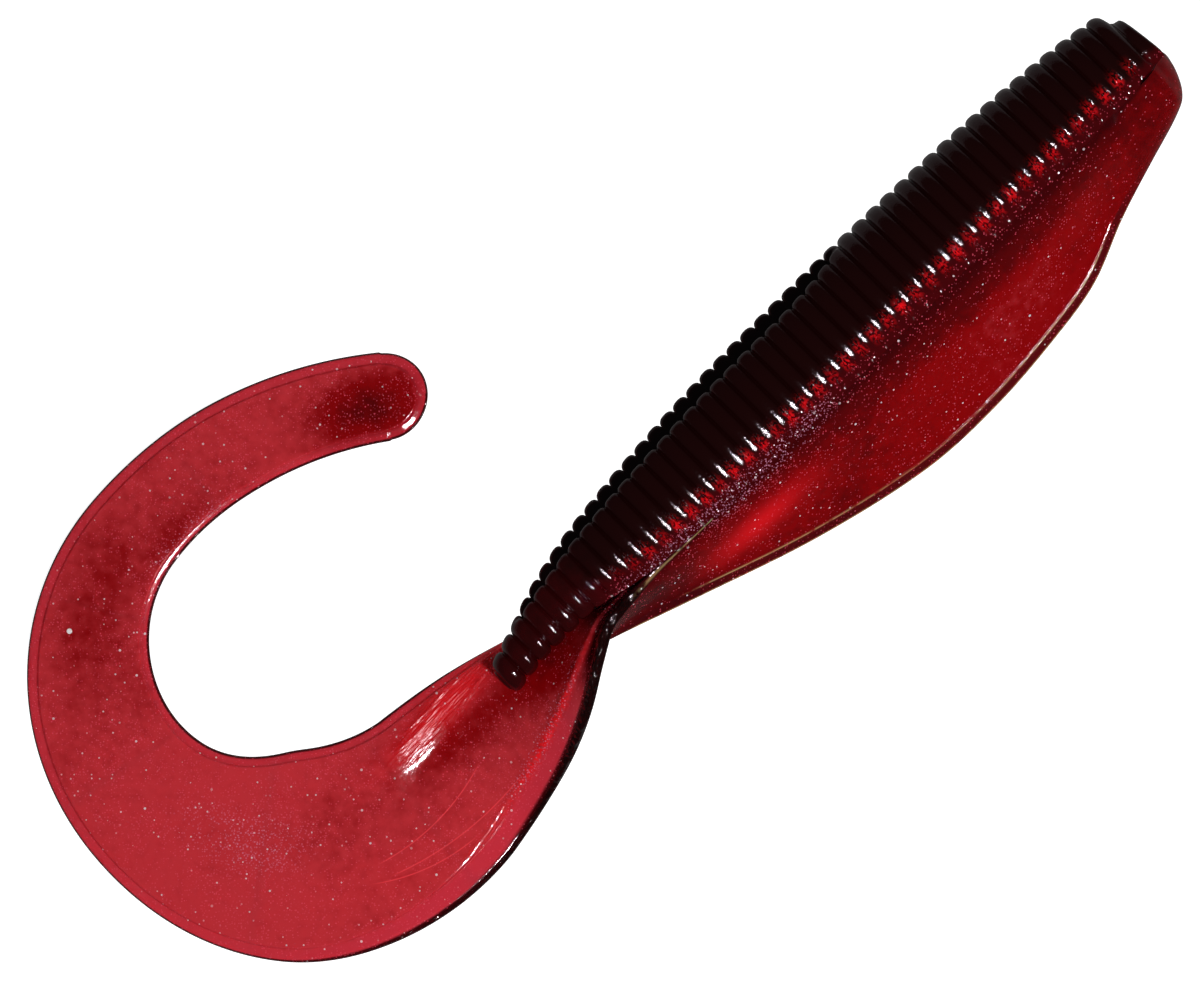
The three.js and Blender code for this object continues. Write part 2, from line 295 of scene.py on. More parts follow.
LIP = 1.25  # the bevel along the keel's edge
LIP_ROUND = 0.4
WEB_HALF = 0.85  # half the keel's thickness
RIDGE = 0.13  # height and half width of the ridge above the bevel
SEAM_EASE = 0.1  # rounds the flank off where it meets the back
FLAT_SHARE, LIP_SHARE = 0.78, 0.90  # of the way down: where the bevel starts and ends
STRAIGHT, SWELLING = 0.55, 0.45  # shares of a straight fall and a round swell in the flanks
BELLY_TAPERS = 72  # from here to its end the belly draws in
NOSE_LOBE = 2.6  # the belly is rounded in over this length
LOBE_POWER = 2.4  # the higher, the squarer the front lobe


def depth_of(x):
    return keel_depth(x) + belly_top(x)


def belly_section(x, share):
    """Half width and height of the belly. share runs from -1 on the lower flank, round the
    keel's edge at 0, to 1 on the upper flank."""
    down = 1 - np.abs(share)
    tapered = ease(x, BELLY_TAPERS, BELLY_END)
    half = (half_width(x) - RIB_END_DROP * (1 - tapered)) * (1 - 0.25 * tapered)
    half = half * quarter_round(x / NOSE_LOBE)
    depth = depth_of(x)
    lip = np.minimum(LIP, 0.25 * depth)
    lip_round = np.minimum(LIP_ROUND, 0.1 * depth)
    web = np.minimum(WEB_HALF, 0.35 * half)
    fall = np.clip(down / FLAT_SHARE, 0, 1)
    bevel = np.clip((down - FLAT_SHARE) / (LIP_SHARE - FLAT_SHARE), 0, 1)
    turn = np.clip((down - LIP_SHARE) / (1 - LIP_SHARE), 0, 1) * np.pi / 2
    ridge_level = depth - lip
    level = ridge_level * fall + (lip - lip_round) * bevel + lip_round * np.sin(turn)
    eased = np.sqrt(fall ** 2 + SEAM_EASE ** 2) - SEAM_EASE
    straight = 1 - eased / (math.hypot(1, SEAM_EASE) - SEAM_EASE)
    swell = STRAIGHT * straight + SWELLING * (1 + np.cos(np.pi * fall)) / 2
    w = (web + (half - web) * swell) * (1 - 0.3 * bevel) * np.cos(turn)
    ridged = ease(x, 10, 18) * (1 - ease(x, 64, 74))
    w = w + RIDGE * ridged * hump(level, ridge_level, RIDGE)
    # The front lobe is round, without the bevel, and closes over in front of the nose ring.
    rounded = half * np.maximum(1 - (level / depth) ** LOBE_POWER, 0) ** (1 / LOBE_POWER)
    round_nose = 1 - ease(x, 3, 15)
    w = w * (1 - round_nose) + rounded * round_nose
    w = w * (1 - (1 - ease(x, 0.3, 1.2)) * (1 - quarter_round(down / 0.3)))
    return down, level, w


def belly_skin(x, share):
    """Points of the smooth belly."""
    _, level, w = belly_section(x, share)
    u = belly_top(x) - level
    w = np.sign(share) * (w - eye_dents(x, w, u) * (w > 1))
    return body_point(x + 0 * w, w, u)


# Rows of a closed end, each with its share of the end's size and how far out it lies in mm.
CAP_STEPS = [(0.93, 0.12), (0.8, 0.22), (0.55, 0.27), (0.28, 0.29), (0.0, 0.3)]


def cap(row, outward):
    """Rows that close an end: a small rounded shoulder, then a flat face."""
    centre = row.mean(axis=0)
    return [centre + (row - centre) * size + MM * reach * outward for size, reach in CAP_STEPS]


# Where the skin's columns run, closest together at the slot and at the keel's edge.
ANGLES = np.concatenate([np.linspace(0, 66, 34)[:-1], np.linspace(66, 114, 61)[:-1],
                         np.linspace(114, 180, 34)])
UNDER_ANGLES = np.linspace(180, 360, 40)[1:-1]
DOWNS = np.concatenate([np.linspace(0, 0.72, 30)[:-1], np.linspace(0.72, 0.80, 17)[:-1],
                        np.linspace(0.80, 0.90, 7)[:-1], np.linspace(0.90, 1, 9)])
SHARES = np.concatenate([DOWNS - 1, (1 - DOWNS)[::-1][1:]])
SEAM_STEP = 0.05  # mm to each side, for the slope of the endless skin


def body_piece(name, skin, columns, first, last, wrap, marks_for, capped):
    """One stretch of the body's skin. Its normals come from the endless skin, so that two
    neighbours shade as one surface."""
    x = rib_stations(first, last)[:, None]
    columns = columns[None, :]
    points = skin(x, columns)
    behind = skin(x + SEAM_STEP, columns) - skin(np.maximum(x - SEAM_STEP, 0), columns)
    if wrap:
        # The flanks turn into the underside only where the underside is rounded.
        round_under = ease(back_under(x), 0.3, 1.4)[:, :, None]
        around = (np.roll(points, -1, axis=1) - np.roll(points, 1, axis=1)) / 2
        top = len(ANGLES)
        over = np.concatenate([np.gradient(points[:, :top], axis=1),
                               np.gradient(points[:, top:], axis=1)], axis=1)
        across = around * round_under + over * (1 - round_under)
    else:
        across = np.gradient(points, axis=1)
    normals = unit(np.cross(across, behind))
    marks = {key: np.broadcast_to(value, points.shape[:2])
             for key, value in marks_for(x, columns).items()}
    if "start" in capped:
        rows = np.stack(cap(points[0], -along)[::-1])
        shoulder = unit(normals[0] - along)
        facing = np.broadcast_to(-along, rows.shape).copy()
        facing[-1] = shoulder
        points = np.concatenate([rows, points])
        normals = np.concatenate([facing, normals])
        marks = {key: np.concatenate([np.repeat(value[:1], len(rows), axis=0), value])
                 for key, value in marks.items()}
    if "end" in capped:
        rows = np.stack(cap(points[-1], along))
        facing = np.broadcast_to(along, rows.shape).copy()
        facing[0] = unit(normals[-1] + along)
        points = np.concatenate([points, rows])
        normals = np.concatenate([normals, facing])
        marks = {key: np.concatenate([value, np.repeat(value[-1:], len(rows), axis=0)])
                 for key, value in marks.items()}
    return surface(name, points, normals, marks, wrap)


FLAKE_BAND = (38, 50)  # where the band of flake along the flank comes in
DARK_RED_INK = 0.34  # the ink where the back's wine red meets the belly


def back_marks(x, angle):
    """Black up the back and wine red towards the flanks, with painted light glowing red in the
    grooves.
    """
    x, above, *_, u = back_section(x, angle)
    rise = np.where(above, u, 0)
    groove = off_crest(x)
    whole_ring = ease(x, 70, 78)
    start = 0.55 + 0.9 * ease(x, 2, 12)
    blackens = ease(rise, start - 0.6 + 1.1 * groove, start + 1.7)
    ink = DARK_RED_INK + (1 - DARK_RED_INK) * blackens
    ink = ink * (1 - whole_ring) + 0.72 * whole_ring
    count = np.floor(x / RIB_PITCH + 0.5)
    uneven = 0.5 + 0.5 * np.sin(count * 2.4) * np.sin(count * 0.7 + 1)
    # Painted light: red spots in the grooves near the flank, where light would shine through.
    spark = ease(groove, 0.25, 0.8) * hump(rise, 2.0, 0.7) * (0.5 + 0.5 * uneven)
    spark = spark * (1 - ease(x, 66, 74)) * ease(x, 2, 5)
    low = 1 - ease(rise, 0.9, 2.2)
    foil = low * (0.25 + 0.7 * ease(x, *FLAKE_BAND)) * (1 - whole_ring)
    return {"ink": ink, "deep": 1.0, "spark": spark, "foil": foil}


CLEAREST = 0.35  # how much the deep red thins out towards the keel
HIGHLIGHT_LINE_HALF = 0.08  # half the width of the painted pale highlight line on the keel's ridge


def belly_marks(x, share):
    """Darker where the belly is thick, with painted shade on the bevel, a painted pale highlight
    at the keel's edge and on its ridge, and a patch of painted light low on the keel towards the
    rear.
    """
    down, level, _ = belly_section(x, share)
    reach = dark_reach(x)
    clearer = CLEAREST * (0.62 + 0.38 * ease(x, 8, 20)) * (1 - 0.7 * ease(x, 61, 70))
    clearer = clearer * (1 + 0.7 * hump(x, 27, 11))
    deep = 1 - clearer * ease(level, reach - 2.6, reach + 2.2)
    # Painted light: a bright red patch low on the keel towards the rear.
    glow = 0.72 * hump(x, 59, 5.5) * hump(level, 4.6, 1.5)
    band = hump(level, 0.2, 1.7) * ease(x, *FLAKE_BAND) * (1 - ease(x, 60, 68))
    # Painted shade: maroon on the bevel along the keel's edge.
    lip = 0.85 * ease(down, FLAT_SHARE - 0.006, FLAT_SHARE + 0.03) * ease(x, 6, 16)
    # Painted highlight: a pale line on the ridge above the bevel, and round the keel's edge.
    ridge_level = (depth_of(x) - LIP) * ease(x, 10, 14)
    line = hump(level, ridge_level, HIGHLIGHT_LINE_HALF) * ease(x, 15, 18) * (1 - ease(x, 64, 70))
    line = line * (0.85 - 0.5 * hump(x, 43, 9))
    corner_highlight = ease(down, 0.912, 0.94) * (1 - ease(down, 0.96, 0.985)) * ease(x, 9, 16)
    fringe = np.maximum(corner_highlight, line)
    eye = np.exp(-(((x - EYE[0]) ** 2 + (level + EYE[2]) ** 2) / EYE_RADIUS ** 2) ** 2)
    near_seam = 1 - ease(level, 0.1 * reach, 0.6 * reach)
    ink = np.maximum(DARK_RED_INK * near_seam, 0.5 * eye)
    ink = np.maximum(ink, 0.22 * ease(x, 63, 70))
    foil = 0.22 * (0.45 + 0.55 * ease(x, 7, 16)) + 0.7 * band
    return {"ink": ink, "deep": deep, "glow": glow, "foil": foil, "lip": lip, "fringe": fringe}


# ---- the tail sheet ----
def tail_plan(distance):
    """The middle of the sheet from above, in mm from where it leaves the body, and its heading."""
    x = y = heading = 0.0
    left = distance
    for length, turn in TAIL_ARCS:
        run = min(left, length)
        swing = math.radians(turn * run / length)
        chord = run if swing == 0 else 2 * run * math.sin(swing / 2) / swing
        x += chord * math.cos(heading + swing / 2)
        y += chord * math.sin(heading + swing / 2)
        heading += swing
        left -= run
        if left <= 0:
            break
    return x, y, heading


root = nose + TAIL_START * MM * along


def tail_frame(distance):
    """The sheet's centre in metres, and the unit vectors ahead, out to its outer edge and out
    of its upper face."""
    x, y, turn = tail_plan(distance)
    twist = math.radians(float(tail_twist(distance)))
    heading = HEADING + turn
    ahead = np.array([math.cos(heading), math.sin(heading), 0])
    level = np.array([-math.sin(heading), math.cos(heading), 0])
    out = level * math.cos(twist) + UP * math.sin(twist)
    face = -level * math.sin(twist) + UP * math.cos(twist)
    on_edge = float(tail_width(distance)) / 2 * math.sin(twist) + RIM_HALF * math.cos(twist)
    settled = float(ease(distance, 5, 20))
    height = AXIS_HEIGHT / MM * (1 - settled) + on_edge * settled
    across = np.array([math.cos(HEADING + math.pi / 2), math.sin(HEADING + math.pi / 2), 0])
    centre = np.array([root[0], root[1], 0]) + MM * (x * along + y * across)
    centre[2] = height * MM
    return centre, ahead, out, face


TIP_RADIUS = float(tail_width(TAIL_LENGTH)) / 2
MARGIN_STEP = 0.24  # width of the step up from the margin
ROOT_STEP = 0.75  # how much wider the outer step is near the root
INNER_TILT = 0.2  # how steeply the inner margin falls to its edge
RIPPLE = 0.05  # height of the faint waves all over the sheet
WEB_COLUMNS = 22
# Low swells in the upper face: (distance, across, reach along, reach across, height).
SWELLS = [
    (29.8, -5.8, 5.5, 1.8, 0.55),
    (31.5, -3.4, 3.0, 1.0, 0.10),
    (33.0, 3.0, 7.0, 1.6, 0.10),
    (52.0, -4.0, 9.0, 3.5, -0.12),
    (84.0, 1.0, 8.0, 2.5, 0.10),
    (108.0, 0.5, 6.0, 2.0, -0.10),
]


def side_columns(half, margin, slope):
    """Distances in from one edge: round the edge, over the margin, its step and the web."""
    return np.concatenate([slope * np.array([0, 0.03, 0.1, 0.22, 0.4, 0.65, 1.0]),
                           np.linspace(slope, margin, 6)[1:],
                           margin + MARGIN_STEP * np.array([0.15, 0.3, 0.5, 0.7, 0.85, 1.0]),
                           np.linspace(margin + MARGIN_STEP, half, WEB_COLUMNS)[1:]])


def tail_ring(distance):
    """A closed ring of the sheet's section, with how far in from the edge each point lies, how
    far across, and the margin and slope at that edge."""
    centre, _, out, face = tail_frame(distance)
    into_tip = max(0.0, distance - (TAIL_LENGTH - TIP_RADIUS))
    half = float(tail_width(distance)) / 2 if into_tip == 0 else TIP_RADIUS
    shrink = math.sqrt(max(1 - (into_tip / TIP_RADIUS) ** 2, 1e-6))
    outer = side_columns(half, float(outer_margin(distance)), float(outer_slope(distance)))
    inner = side_columns(half, float(inner_margin(distance)), INNER_SLOPE)
    across = np.concatenate([inner - half, (half - outer)[::-1][1:]]) * shrink
    outward = across >= 0
    inside = half - np.abs(across)
    if into_tip > 0:
        inside = np.maximum(TIP_RADIUS - np.hypot(across, into_tip), 0)
    margin = np.where(outward, outer_margin(distance), inner_margin(distance))
    slope = np.where(outward, outer_slope(distance), INNER_SLOPE)
    step_width = MARGIN_STEP + np.where(outward, ROOT_STEP * hump(distance, 20, 7), 0)
    step = ease(inside, margin, margin + step_width)
    thin, thick = float(margin_half(distance)), float(web_half(distance))
    tilt = np.where(outward, 0, INNER_TILT * np.minimum(inside - margin, 0))
    square = np.where(outward, 2 + 2.5 * (1 - ease(distance, 14, 30)), 2)
    rounding = (1 - (1 - np.clip(inside / slope, 0, 1)) ** square) ** (1 / square)
    height = rounding * (thin + tilt + (thick - thin) * step)
    swell = RIPPLE * np.sin(distance * 0.31 + across * 0.25) * np.sin(across * 0.33 + 1.1)
    for at, side, reach, reach_across, rise in SWELLS:
        swell = swell + rise * hump(distance, at, reach) * hump(across, side, reach_across)
    swell = swell * ease(inside, 1.2, 3.0)
    w = np.concatenate([across, across[::-1][1:-1]])
    z = np.concatenate([height + swell, (-height)[::-1][1:-1]])
    points = centre + MM * (np.multiply.outer(w, out) + np.multiply.outer(z, face))
    marks = [np.concatenate([value, value[::-1][1:-1]])
             for value in (inside, across, margin, slope, 0 * across + distance)]
    return points, marks


TAIL_STEP = 0.45
# Darker patches where the sheet lies thick, and painted shade where it lies close to the table,
# with a
# painted shadow under the stub: (distance, across, reach along, reach across, strength).
SHADE_PATCHES = [
    (79.0, 0.0, 10.0, 3.6, 0.24),
    (92.0, -3.0, 6.0, 2.0, 0.2),
    (115.0, -1.2, 5.5, 3.0, 0.72),
    # the painted shadow under the stub
    (12.0, -1.0, 5.0, 4.5, 0.6),
    (20.0, -1.2, 6.0, 2.4, 0.22),
    (26.0, -2.6, 5.5, 2.0, 0.27),
    (40.0, -2.6, 8.0, 4.0, 0.14),
]


def tail_marks(inside, across, margin, slope, distance):
    """Clear red with darker patches of painted shade, a margin of painted light, lighter and
    pinker, and a wall down to the edge darkened with painted shade. Towards the root the outer
    edge is painted black as shade, with a painted pale highlight along it where it leaves the
    body. A painted glow lies round the glare, and painted sparks along the outer step."""
    outward = across >= 0
    deep = 0.10 - 0.10 * hump(distance, 50, 12)
    for at, side, reach, reach_across, strength in SHADE_PATCHES:
        deep = deep + strength * hump(distance, at, reach) * hump(across, side, reach_across)
    deep = np.clip(deep, 0, 1)
    # Painted light: the thin margin lighter and pinker.
    painted_margin_light = (1 - ease(inside, margin - 0.3, margin + 0.5)) * ease(distance, 8, 18)
    painted_margin_light = painted_margin_light * (0.5 + 0.4 * outward * (1 - ease(distance, 35, 50)))
    near_root = 1 - ease(distance, 22, 48)
    # Painted shade: the wall down to the edge is darkened.
    wall_reach = np.where(outward, 0.75 * slope + 0.55 * near_root * ease(distance, 10, 20),
                          0.85 * slope)
    wall = 1 - ease(inside, 0.25 * wall_reach, wall_reach)
    ink = wall * np.where(outward, 0.55 + 0.35 * near_root, 0.6)
    # Near the root the outer edge is painted black as shade, and the sheet beside it gets painted
    # shade where it lies in the body's shade.
    near_edge = (1 - ease(distance, 16, 28)) * (1 - ease(inside, 0.5, 1.0)) * outward
    shaded = 0.5 * (1 - ease(distance, 3, 11)) * ease(across, -2.5, 0)
    beside = 0.5 * (1 - ease(distance, 8, 16)) * (1 - ease(inside, 1.0, 2.8)) * outward
    shaded = np.maximum(shaded, beside)
    ink = np.maximum(ink, np.maximum(near_edge, shaded)) * (0.6 + 0.4 * ease(distance, 0, 4))
    # Painted light: a red glow round the glare on the swell, and a faint one across from it.
    glow = 0.8 * hump(distance, 23.0, 8.0) * hump(across, -5.4, 1.5)
    glow = glow + 0.10 * hump(distance, 36, 7) * hump(across, 4.5, 2.5)
    foil = 0.45 + 0.45 * hump(distance, 50, 10) * hump(across, -1, 4)
    foil = foil + 0.5 * hump(distance, 92, 8) * hump(across, -3.9, 0.9)
    # Along the outer step, more flake and painted sparks stand in for its glints.
    foil = foil + 0.8 * hump(distance, 18, 8) * outward * hump(inside, margin + 0.6, 0.8)
    # A painted pale highlight along the outer edge where it leaves the body.
    fringe = 0.7 * (1 - ease(distance, 0, 3)) * (inside < 1e-6) * outward
    spark = outward * hump(distance, 19, 7) * hump(inside, margin + 0.4, 0.45)
    return {"ink": ink, "deep": deep, "painted_margin_light": painted_margin_light, "glow": glow, "foil": np.clip(foil, 0, 1),
            "spark": spark, "fringe": fringe}


def tail_piece(name, first, last):
    """One stretch of the tail sheet, with its normals taken from the endless sheet."""
    count = max(2, int(math.ceil((last - first) / TAIL_STEP)))
    distances = list(np.linspace(first, last, count + 1))
    if last == TAIL_LENGTH:
        straight = [d for d in distances if d < TAIL_LENGTH - TIP_RADIUS]
        turns = np.radians(np.concatenate([np.linspace(0, 80, 25), [83, 85, 87, 88.5, 89.6]]))
        distances = straight + [TAIL_LENGTH - TIP_RADIUS * (1 - math.sin(t)) for t in turns]
    rings = [tail_ring(d) for d in distances]
    points = np.stack([ring[0] for ring in rings])
    nearer = np.stack([tail_ring(d - SEAM_STEP)[0] for d in distances])
    farther = np.stack([tail_ring(min(d + SEAM_STEP, TAIL_LENGTH - 1e-4))[0] for d in distances])
    across = np.roll(points, -1, axis=1) - np.roll(points, 1, axis=1)
    normals = unit(np.cross(farther - nearer, across))
    marks = tail_marks(*[np.stack([ring[1][k] for ring in rings]) for k in range(5)])
    # Rings run the other way round from the body's, so the columns are turned about.
    marks = {key: value[:, ::-1] for key, value in marks.items()}
    return surface(name, points[:, ::-1], normals[:, ::-1], marks, wrap=True,
                   close_start=first < 0, close_end=last == TAIL_LENGTH)


# ---- materials ----
BLACK = (0.011, 0.0013, 0.0013)
WINE = (0.055, 0.0012, 0.0025)
DEEP_RED = (0.120, 0.0014, 0.0026)
RED = (0.330, 0.0018, 0.0034)
CLEAR_RED = (0.700, 0.0420, 0.0560)
# Painted light and shade, the next six: a lighter margin, a red glow and sparks, scratches painted
# brighter as their highlight, maroon shade on the keel's bevel, a pale tan highlight and pale
# flake glints.
MARGIN_LIGHT_RED = (0.740, 0.0420, 0.0720)
PAINTED_GLOW_RED = (0.950, 0.0080, 0.0140)
SCRATCH_HIGHLIGHT_RED = (1.000, 0.0700, 0.0900)
BEVEL_SHADE_MAROON = (0.085, 0.0040, 0.0060)
HIGHLIGHT_TAN = (0.620, 0.3900, 0.1700)
PALE_FOIL_GLINT = (1.000, 0.7800, 0.8400)
RED_FOIL = (0.900, 0.0900, 0.1500)
PURPLE_FOIL = (0.800, 0.2800, 0.4400)
WHITE = (1.0, 1.0, 1.0)
GLARE = (1.0, 0.86, 0.93, 1)  # tint of the gloss
RED_SCATTER = (1.0, 0.10, 0.12)  # how far each colour of light wanders, red the farthest
SCATTER_REACH = 0.0016  # metres
# Flake comes in three sizes: (cells per mm, radius in mm).
FINE_FLAKE, SMALL_FLAKE, LARGE_FLAKE = (4.6, 0.075), (2.5, 0.085), (1.25, 0.12)
# Heights of relief, in metres.
STREAK_RELIEF, RIPPLE_RELIEF, SKIN_RELIEF = 0.0003, 0.0005, 0.00025
SMOOTHEST = 0.05


def circle_through(a, b, c):
    """Centre and radius of the circle through three points of the plane."""
    (ax, ay), (bx, by), (cx, cy) = a, b, c
    twice = 2 * (ax * (by - cy) + bx * (cy - ay) + cx * (ay - by))
    squares = [px * px + py * py for px, py in (a, b, c)]
    x = (squares[0] * (by - cy) + squares[1] * (cy - ay) + squares[2] * (ay - by)) / twice
    y = (squares[0] * (cx - bx) + squares[1] * (ax - cx) + squares[2] * (bx - ax)) / twice
    return (x, y), math.hypot(ax - x, ay - y)


# Fine scratches in the tail's upper face, painted brighter red as their highlight, each through
# three places in mm on the table, and one big flake painted white as its glint.
SCRATCHES = [((-11.8, -26.0), (-16.0, -31.8), (-22.0, -36.1)),
             ((-9.8, -29.6), (-13.3, -32.8), (-20.8, -37.2)),
             ((-12.6, -33.6), (-16.8, -36.2), (-22.4, -37.8))]
SCRATCH_HALF = 0.10
BIG_FLAKE_GLINT = (-51.2, -13.5)
BIG_FLAKE_GLINT_RADIUS = 0.26


class Nodes:
    """Short ways to make and join the nodes of one material."""

    def __init__(self, tree):
        self.tree = tree
        self.rest = self.mark("rest", "Vector")

    def mark(self, name, output="Fac"):
        made = self.tree.nodes.new("ShaderNodeAttribute")
        made.attribute_name = name
        return made.outputs[output]

    def put(self, value, socket):
        if isinstance(value, tuple):
            socket.default_value = (*value, 1) if len(socket.default_value) == 4 else value
        elif isinstance(value, (int, float)):
            socket.default_value = value
        else:
            self.tree.links.new(value, socket)

    def math(self, operation, a, b=0.0, clamp=False):
        made = self.tree.nodes.new("ShaderNodeMath")
        made.operation = operation
        made.use_clamp = clamp
        self.put(a, made.inputs[0])
        self.put(b, made.inputs[1])
        return made.outputs[0]

    def times(self, a, b):
        return self.math("MULTIPLY", a, b)

    def plus(self, a, b):
        return self.math("ADD", a, b, clamp=True)

    def mix(self, share, a, b):
        made = self.tree.nodes.new("ShaderNodeMix")
        made.data_type = "RGBA"
        self.put(share, made.inputs[0])
        self.put(a, made.inputs[6])
        self.put(b, made.inputs[7])
        return made.outputs[2]

    def noise(self, scale, detail, roughness=0.5):
        made = self.tree.nodes.new("ShaderNodeTexNoise")
        made.inputs["Scale"].default_value = scale
        made.inputs["Detail"].default_value = detail
        made.inputs["Roughness"].default_value = roughness
        self.put(self.rest, made.inputs["Vector"])
        return made.outputs["Fac"]

    def ramp(self, value, low, high):
        made = self.tree.nodes.new("ShaderNodeMapRange")
        made.interpolation_type = "SMOOTHSTEP"
        made.inputs["From Min"].default_value = low
        made.inputs["From Max"].default_value = high
        self.put(value, made.inputs["Value"])
        return made.outputs["Result"]

    def vector(self, operation, a, b=None):
        made = self.tree.nodes.new("ShaderNodeVectorMath")
        made.operation = operation
        self.put(a, made.inputs[0])
        if b is not None:
            self.put(b, made.inputs["Scale" if operation == "SCALE" else 1])
        return made.outputs[0]

    def flakes(self, cells_per_mm, radius, kept):
        """Flakes scattered through the plastic: a mask, a random vector and a random number."""
        cells = self.tree.nodes.new("ShaderNodeTexVoronoi")
        cells.inputs["Scale"].default_value = cells_per_mm
        self.put(self.rest, cells.inputs["Vector"])
        near = self.math("LESS_THAN", cells.outputs["Distance"], radius * cells_per_mm)
        split = self.tree.nodes.new("ShaderNodeSeparateColor")
        self.put(cells.outputs["Color"], split.inputs[0])
        picked = self.math("LESS_THAN", split.outputs[0], kept)
        return self.times(near, picked), cells.outputs["Color"], split.outputs[1]

    def streaks(self, turn, stretch):
        """Noise drawn out along one heading."""
        lay = self.tree.nodes.new("ShaderNodeMapping")
        lay.vector_type = "TEXTURE"
        lay.inputs["Rotation"].default_value = (0, 0, turn)
        lay.inputs["Scale"].default_value = stretch
        self.put(self.rest, lay.inputs["Vector"])
        made = self.tree.nodes.new("ShaderNodeTexNoise")
        made.inputs["Scale"].default_value = 1.0
        made.inputs["Detail"].default_value = 2.0
        self.put(lay.outputs[0], made.inputs["Vector"])
        return made.outputs["Fac"]

    def away_from(self, place):
        """Distance in mm from one place, as seen from above."""
        flat = self.vector("MULTIPLY", self.rest, (1.0, 1.0, 0.0))
        made = self.tree.nodes.new("ShaderNodeVectorMath")
        made.operation = "DISTANCE"
        self.put(flat, made.inputs[0])
        self.put((*place, 0.0), made.inputs[1])
        return made.outputs["Value"]

    def scratch(self, places):
        """1 on a thin arc through three places."""
        centre, radius = circle_through(*places)
        off = self.math("ABSOLUTE", self.math("SUBTRACT", self.away_from(centre), radius))
        line = self.ramp(self.math("DIVIDE", off, SCRATCH_HALF), 1.0, 0.0)
        middle = places[1]
        reach = max(math.dist(middle, places[0]), math.dist(middle, places[2]))
        end = self.ramp(self.math("DIVIDE", self.away_from(middle), reach), 1.0, 0.75)
        return self.times(line, end)

    def bump(self, height, strength, distance, normal):
        made = self.tree.nodes.new("ShaderNodeBump")
        made.inputs["Strength"].default_value = strength
        made.inputs["Distance"].default_value = distance
        self.put(height, made.inputs["Height"])
        self.put(normal, made.inputs["Normal"])
        return made.outputs[0]

    def lean(self, tilt, mask, amount):
        """A small turn of the normal where a flake lies, each flake its own way."""
        return self.vector("SCALE", self.vector("SUBTRACT", tilt, (0.5, 0.5, 0.5)),
                           self.times(mask, amount))


def vinyl_colour(n):
    """Clear red where the plastic is thin and darker red where it is thick, through wine to black
    up the back, with painted shade added on the tail. On top come painted light (a glow, sparks, a
    lighter margin and a pale highlight) and painted shade on the keel's bevel. Also gives where it
    is clear enough to show its flake."""
    cloud = n.noise(0.14, 3.0)
    mottle = n.noise(0.9, 4.0)
    speckle = n.noise(3.0, 2.0)
    wobble = n.times(n.math("SUBTRACT", mottle, 0.5), 0.45)
    depth = n.plus(n.plus(n.mark("deep"), wobble), n.times(n.ramp(cloud, 0.45, 0.75), 0.15))
    red = n.mix(n.ramp(depth, 0.0, 0.5), CLEAR_RED, RED)
    red = n.mix(n.ramp(depth, 0.5, 1.0), red, DEEP_RED)
    # Painted light: a lighter, pinker margin and a red glow; then painted shade, maroon, on the
    # keel's bevel.
    red = n.mix(n.mark("painted_margin_light"), red, MARGIN_LIGHT_RED)
    red = n.mix(n.plus(n.mark("glow"), n.times(wobble, n.mark("glow"))), red, PAINTED_GLOW_RED)
    red = n.mix(n.mark("lip"), red, BEVEL_SHADE_MAROON)
    ink = n.plus(n.mark("ink"), n.times(wobble, n.times(n.mark("ink"), 0.8)))
    clear = n.math("SUBTRACT", 1.0, n.ramp(ink, 0.35, 0.7), clamp=True)
    wine = n.mix(n.ramp(ink, 0.04, 0.42), red, WINE)
    colour = n.mix(n.ramp(ink, 0.42, 0.95), wine, BLACK)
    # Painted light: red sparks broken up by noise, then a painted pale highlight in tan.
    spark = n.times(n.mark("spark"), n.ramp(speckle, 0.42, 0.56))
    colour = n.mix(spark, colour, PAINTED_GLOW_RED)
    colour = n.mix(n.times(n.mark("fringe"), n.ramp(mottle, 0.3, 0.5)), colour, HIGHLIGHT_TAN)
    return colour, clear


def add_flake(n, colour, clear):
    """Three sizes of flake, the finest lying deepest; the small ones at random and the large ones
    are painted pale, as painted glints. Also gives the lean of the bigger two.
    """
    foil = n.mark("foil")
    drift = n.times(foil, n.plus(0.35, n.times(n.ramp(n.noise(0.3, 3.0), 0.35, 0.7), 1.3)))
    fine, _, fine_shine = n.flakes(*FINE_FLAKE, n.times(drift, 1.5))
    small, small_tilt, small_shine = n.flakes(*SMALL_FLAKE, drift)
    large, large_tilt, large_shine = n.flakes(*LARGE_FLAKE, n.times(drift, 0.22))
    tint = n.mix(n.ramp(foil, 0.6, 0.95), RED_FOIL, PURPLE_FOIL)
    colour = n.mix(n.times(n.times(fine, clear), n.times(fine_shine, 0.75)), colour, tint)
    # Painted glints: a random share of the flakes painted pale, as if catching the lamp.
    lit = n.times(small_shine, n.times(small_shine, small_shine))
    small = n.times(small, clear)
    shine = n.mix(n.ramp(lit, 0.35, 0.8), tint, PALE_FOIL_GLINT)
    colour = n.mix(n.times(small, n.plus(lit, 0.2)), colour, shine)
    large = n.times(large, clear)
    colour = n.mix(n.times(large, n.plus(large_shine, 0.2)), colour, PALE_FOIL_GLINT)
    return colour, [n.lean(small_tilt, small, 0.7), n.lean(large_tilt, large, 0.5)]


def add_scratches(n, colour):
    for places in SCRATCHES:
        colour = n.mix(n.times(n.scratch(places), 0.85), colour, SCRATCH_HIGHLIGHT_RED)
    # A painted glint: the big flake painted white.
    on_flake = n.math("LESS_THAN", n.away_from(BIG_FLAKE_GLINT), BIG_FLAKE_GLINT_RADIUS)
    return n.mix(on_flake, colour, WHITE)


